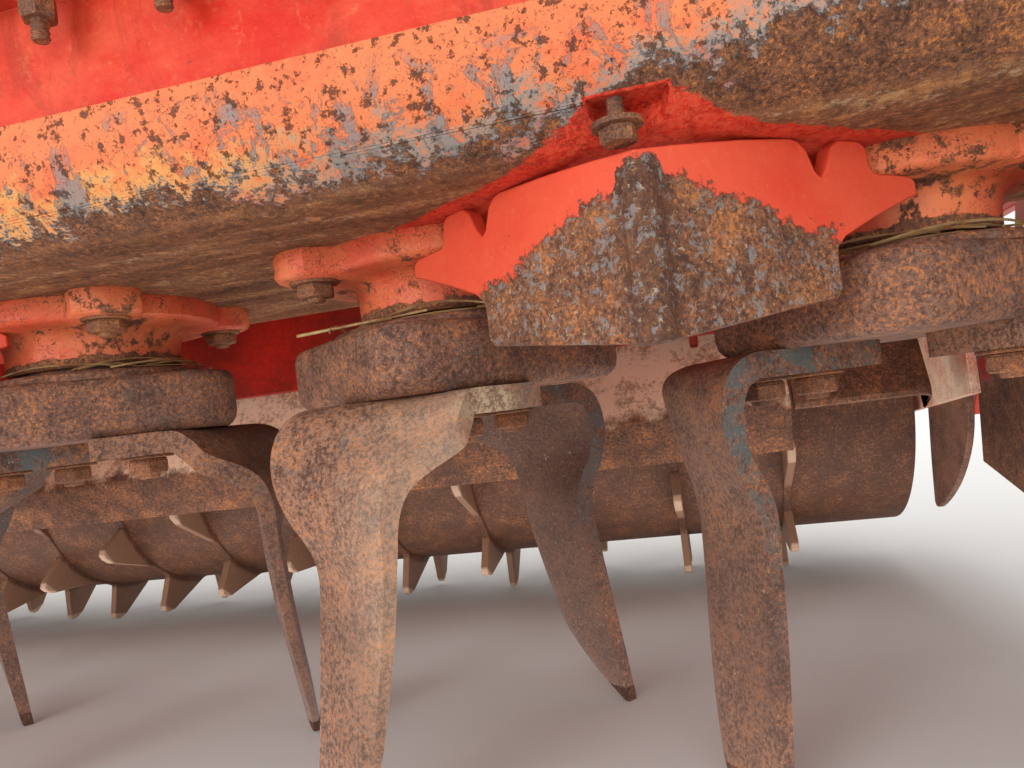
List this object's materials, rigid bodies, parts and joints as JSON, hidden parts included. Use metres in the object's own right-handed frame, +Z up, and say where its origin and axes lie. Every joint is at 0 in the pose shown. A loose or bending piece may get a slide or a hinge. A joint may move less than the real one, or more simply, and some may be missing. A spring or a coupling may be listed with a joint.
{
  "type": "power harrow",
  "caption": "Mounted soil tiller: a gear trough with upright rotors of bent tines, stone guards, a levelling bar, side plates and a toothed packer roller behind.",
  "frame": {"origin": "on the ground, below the middle of the machine's footprint", "axes": "+X along the row of rotors, +Y rearwards to the roller, +Z up"},
  "size_m": [3.1672, 1.2717, 1.175],
  "materials": {
    "faded_orange_paint": "faded and rust-speckled paint",
    "red_paint": "worn gloss",
    "cast_paint": "painted rough casting",
    "worn_bar_paint": "paint worn to rust",
    "rusty_forging": "rusted forging",
    "worn_tine_steel": "soil-polished, rusted steel",
    "rusty_drum": "even rust",
    "bare_steel": "greased",
    "dark_plastic": "weathered"
  },
  "bodies": {
    "frame": {"arm_pins": "bare_steel", "arm_stops": "bare_steel", "bar_brackets": "worn_bar_paint", "bar_hangers": "worn_bar_paint", "bearing_housings": "faded_orange_paint", "gearbox": "cast_paint", "headstock_beams": "red_paint", "leaf_plates": "worn_bar_paint", "levelling_bar": "worn_bar_paint", "lower_link_pins": "bare_steel", "lower_link_plates": "red_paint", "mast": "red_paint", "rear_panel": "red_paint", "shaft_guard": "dark_plastic", "side_plate_studs": "bare_steel", "stone_guards": "faded_orange_paint", "trough": "faded_orange_paint", "trough_cover": "red_paint", "trough_end_plates": "red_paint"},
    "rotor_1": {"holder_1": "rusty_forging", "tines_1": "worn_tine_steel"},
    "rotor_2": {"holder_2": "rusty_forging", "tines_2": "worn_tine_steel"},
    "rotor_3": {"holder_3": "rusty_forging", "tines_3": "worn_tine_steel"},
    "rotor_4": {"holder_4": "rusty_forging", "tines_4": "worn_tine_steel"},
    "rotor_5": {"holder_5": "rusty_forging", "tines_5": "worn_tine_steel"},
    "rotor_6": {"holder_6": "rusty_forging", "tines_6": "worn_tine_steel"},
    "rotor_7": {"holder_7": "rusty_forging", "tines_7": "worn_tine_steel"},
    "rotor_8": {"holder_8": "rusty_forging", "tines_8": "worn_tine_steel"},
    "rotor_9": {"holder_9": "rusty_forging", "tines_9": "worn_tine_steel"},
    "rotor_10": {"holder_10": "rusty_forging", "tines_10": "worn_tine_steel"},
    "roller": {"roller": "rusty_drum", "roller_stubs": "rusty_drum"},
    "roller_arms": {"roller_arm_left": "red_paint", "roller_arm_right": "red_paint", "roller_cross_tube": "red_paint", "scrapers": "rusty_drum"},
    "pto_shaft": {"input_shaft": "bare_steel"},
    "side_plate_left": {"side_plate_left": "red_paint"},
    "side_plate_right": {"side_plate_right": "red_paint"}
  },
  "joints": [
    {"name": "rotor_1_spin", "type": "hinge", "parent": "frame", "child": "rotor_1", "pos_m": [-1.35, -0.1615, 0.268], "axis": [0, 0, 1], "continuous": true},
    {"name": "rotor_2_spin", "type": "hinge", "parent": "frame", "child": "rotor_2", "pos_m": [-1.05, -0.1615, 0.268], "axis": [0, 0, 1], "continuous": true},
    {"name": "rotor_3_spin", "type": "hinge", "parent": "frame", "child": "rotor_3", "pos_m": [-0.75, -0.1615, 0.268], "axis": [0, 0, 1], "continuous": true},
    {"name": "rotor_4_spin", "type": "hinge", "parent": "frame", "child": "rotor_4", "pos_m": [-0.45, -0.1615, 0.268], "axis": [0, 0, 1], "continuous": true},
    {"name": "rotor_5_spin", "type": "hinge", "parent": "frame", "child": "rotor_5", "pos_m": [-0.15, -0.1615, 0.268], "axis": [0, 0, 1], "continuous": true},
    {"name": "rotor_6_spin", "type": "hinge", "parent": "frame", "child": "rotor_6", "pos_m": [0.15, -0.1615, 0.268], "axis": [0, 0, 1], "continuous": true},
    {"name": "rotor_7_spin", "type": "hinge", "parent": "frame", "child": "rotor_7", "pos_m": [0.45, -0.1615, 0.268], "axis": [0, 0, 1], "continuous": true},
    {"name": "rotor_8_spin", "type": "hinge", "parent": "frame", "child": "rotor_8", "pos_m": [0.75, -0.1615, 0.268], "axis": [0, 0, 1], "continuous": true},
    {"name": "rotor_9_spin", "type": "hinge", "parent": "frame", "child": "rotor_9", "pos_m": [1.05, -0.1615, 0.268], "axis": [0, 0, 1], "continuous": true},
    {"name": "rotor_10_spin", "type": "hinge", "parent": "frame", "child": "rotor_10", "pos_m": [1.35, -0.1615, 0.268], "axis": [0, 0, 1], "continuous": true},
    {"name": "pto_spin", "type": "hinge", "parent": "frame", "child": "pto_shaft", "pos_m": [0, -0.3615, 0.684], "axis": [0, 1, 0], "continuous": true},
    {"name": "roller_arm_swing", "type": "hinge", "parent": "frame", "child": "roller_arms", "pos_m": [0, -0.2815, 0.44], "axis": [1, 0, 0], "range_deg": [-12, 0]},
    {"name": "roller_spin", "type": "hinge", "parent": "roller_arms", "child": "roller", "pos_m": [0, 0.3915, 0.245], "axis": [1, 0, 0], "continuous": true},
    {"name": "side_plate_left_lift", "type": "slide", "parent": "frame", "child": "side_plate_left", "axis": [0, 0, 1], "range_m": [0, 0.1]},
    {"name": "side_plate_right_lift", "type": "slide", "parent": "frame", "child": "side_plate_right", "axis": [0, 0, 1], "range_m": [0, 0.1]}
  ],
  "couplings": [
    {"joint": "rotor_2_spin", "follows": "rotor_1_spin", "ratio": -1},
    {"joint": "rotor_3_spin", "follows": "rotor_1_spin", "ratio": 1},
    {"joint": "rotor_4_spin", "follows": "rotor_1_spin", "ratio": -1},
    {"joint": "rotor_5_spin", "follows": "rotor_1_spin", "ratio": 1},
    {"joint": "rotor_6_spin", "follows": "rotor_1_spin", "ratio": -1},
    {"joint": "rotor_7_spin", "follows": "rotor_1_spin", "ratio": 1},
    {"joint": "rotor_8_spin", "follows": "rotor_1_spin", "ratio": -1},
    {"joint": "rotor_9_spin", "follows": "rotor_1_spin", "ratio": 1},
    {"joint": "rotor_10_spin", "follows": "rotor_1_spin", "ratio": -1},
    {"joint": "pto_spin", "follows": "rotor_1_spin", "ratio": 2.6}
  ]
}
